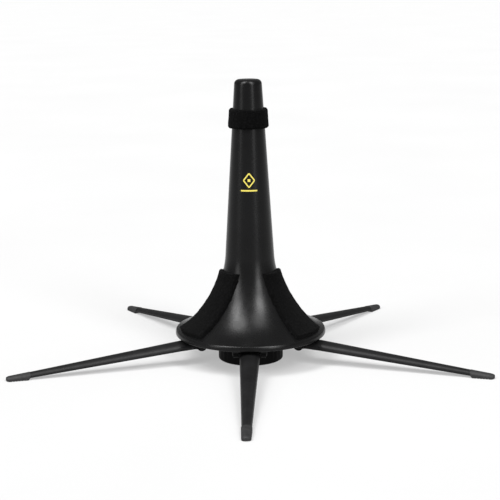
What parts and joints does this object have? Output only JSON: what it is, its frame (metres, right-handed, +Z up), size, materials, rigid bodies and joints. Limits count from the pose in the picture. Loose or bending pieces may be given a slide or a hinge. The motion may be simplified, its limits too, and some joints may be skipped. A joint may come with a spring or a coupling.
{
  "type": "trumpet stand",
  "caption": "Free-standing trumpet stand: a tall felt-lined cone with a flared flange on a low hub with folding channel legs and flat feet.",
  "frame": {"origin": "on the cone's axis, in the plane of the feet's soles", "axes": "+Z up along the cone's axis, the first leg points along -Y"},
  "size_m": [0.2866, 0.2727, 0.1716],
  "materials": {
    "cone_plastic": "satin moulded black plastic",
    "felt": "pressed black felt",
    "leg_steel": "satin black powder coat",
    "foot_plastic": "hard moulded rubber",
    "hub_plastic": "fine textured black plastic",
    "knob_plastic": "fine textured black plastic",
    "zinc_steel": "zinc plated",
    "black_steel": "blackened",
    "brass": "machined",
    "nylon": "natural nylon"
  },
  "bodies": {
    "base": {"hub_body": "hub_plastic", "centre_column": "hub_plastic", "hub_screws": "zinc_steel", "hub_bush": "nylon", "pivot_pin_1": "black_steel", "pivot_pin_2": "black_steel", "pivot_pin_3": "black_steel", "pivot_pin_4": "black_steel", "pivot_pin_5": "black_steel"},
    "cone": {"cone_shell": "cone_plastic", "neck_felt_ring": "felt", "flare_felt_1": "felt", "flare_felt_2": "felt", "flare_felt_3": "felt", "socket_plug": "hub_plastic", "threaded_insert": "brass"},
    "knob": {"knob": "knob_plastic", "tie_bolt": "zinc_steel", "thrust_washer": "nylon", "retaining_clip": "zinc_steel"},
    "leg_1": {"leg_1": "leg_steel", "foot_1": "foot_plastic"},
    "leg_2": {"leg_2": "leg_steel", "foot_2": "foot_plastic"},
    "leg_3": {"leg_3": "leg_steel", "foot_3": "foot_plastic"},
    "leg_4": {"leg_4": "leg_steel", "foot_4": "foot_plastic"},
    "leg_5": {"leg_5": "leg_steel", "foot_5": "foot_plastic"}
  },
  "joints": [
    {"name": "cone_lift", "type": "slide", "parent": "base", "child": "cone", "axis": [0, 0, 1], "range_m": [0, 0.08]},
    {"name": "knob_turn", "type": "hinge", "parent": "base", "child": "knob", "pos_m": [0, 0, 0.0084], "axis": [0, 0, 1], "continuous": true},
    {"name": "leg_1_fold", "type": "hinge", "parent": "base", "child": "leg_1", "pos_m": [0, -0.0335, 0.0132], "axis": [1, 0, 0], "range_deg": [0, 90]},
    {"name": "leg_2_fold", "type": "hinge", "parent": "base", "child": "leg_2", "pos_m": [0.03186, -0.01035, 0.0132], "axis": [0.309, 0.9511, 0], "range_deg": [0, 90]},
    {"name": "leg_3_fold", "type": "hinge", "parent": "base", "child": "leg_3", "pos_m": [0.01969, 0.0271, 0.0132], "axis": [-0.809, 0.5878, 0], "range_deg": [0, 90]},
    {"name": "leg_4_fold", "type": "hinge", "parent": "base", "child": "leg_4", "pos_m": [-0.01969, 0.0271, 0.0132], "axis": [-0.809, -0.5878, 0], "range_deg": [0, 90]},
    {"name": "leg_5_fold", "type": "hinge", "parent": "base", "child": "leg_5", "pos_m": [-0.03186, -0.01035, 0.0132], "axis": [0.309, -0.9511, 0], "range_deg": [0, 90]}
  ]
}
